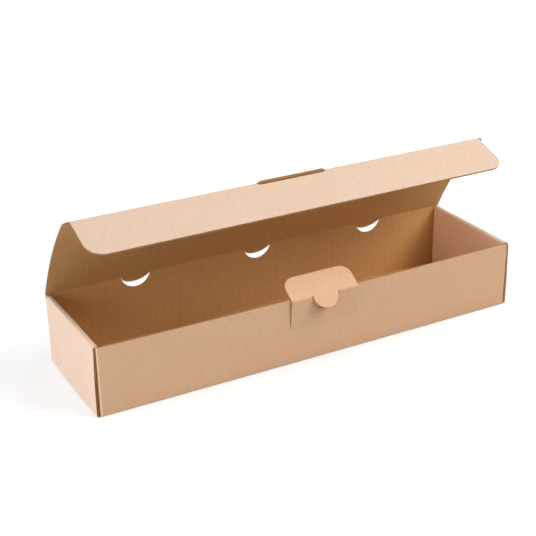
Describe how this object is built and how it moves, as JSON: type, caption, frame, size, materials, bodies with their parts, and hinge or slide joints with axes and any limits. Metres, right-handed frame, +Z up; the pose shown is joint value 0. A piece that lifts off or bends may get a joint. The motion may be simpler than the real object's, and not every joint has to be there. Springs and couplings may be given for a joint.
{
  "type": "baguette takeaway box",
  "caption": "Long folding box of kraft corrugated board with a hinged lid, tuck flap, half-moon vents and a thumb lock in the front wall.",
  "frame": {"origin": "centre of the underside of the tray's base, on the surface it stands on", "axes": "+X along the box's length, +Y from the front wall with the lock to the hinged back wall, +Z up"},
  "size_m": [0.35, 0.1098, 0.1329],
  "materials": {
    "kraft_board": "uncoated, matt"
  },
  "bodies": {
    "tray": {"tray": "kraft_board"},
    "lid": {"lid": "kraft_board"},
    "tuck_flap": {"tuck_flap": "kraft_board"},
    "lock_panel": {"lock_panel": "kraft_board"},
    "lock_flap": {"lock_flap": "kraft_board"}
  },
  "joints": [
    {"name": "lid_hinge", "type": "hinge", "parent": "tray", "child": "lid", "pos_m": [0, 0.0467, 0.0537], "axis": [-1, 0, 0], "range_deg": [-54, 36]},
    {"name": "tuck_fold", "type": "hinge", "parent": "lid", "child": "tuck_flap", "pos_m": [0, -0.0072, 0.12789], "axis": [1, 0, 0], "range_deg": [-61.2, 91.8]},
    {"name": "lock_panel_bend", "type": "hinge", "parent": "tray", "child": "lock_panel", "pos_m": [0, -0.048, 0.0295], "axis": [1, 0, 0], "range_deg": [-2, 8]},
    {"name": "lock_flap_fold", "type": "hinge", "parent": "lock_panel", "child": "lock_flap", "pos_m": [0, -0.04945, 0.05199], "axis": [-1, 0, 0], "range_deg": [-43.2, 64.8]}
  ],
  "couplings": [
    {"joint": "tuck_fold", "follows": "lid_hinge", "ratio": -1.7},
    {"joint": "lock_flap_fold", "follows": "lid_hinge", "ratio": -1.2}
  ]
}
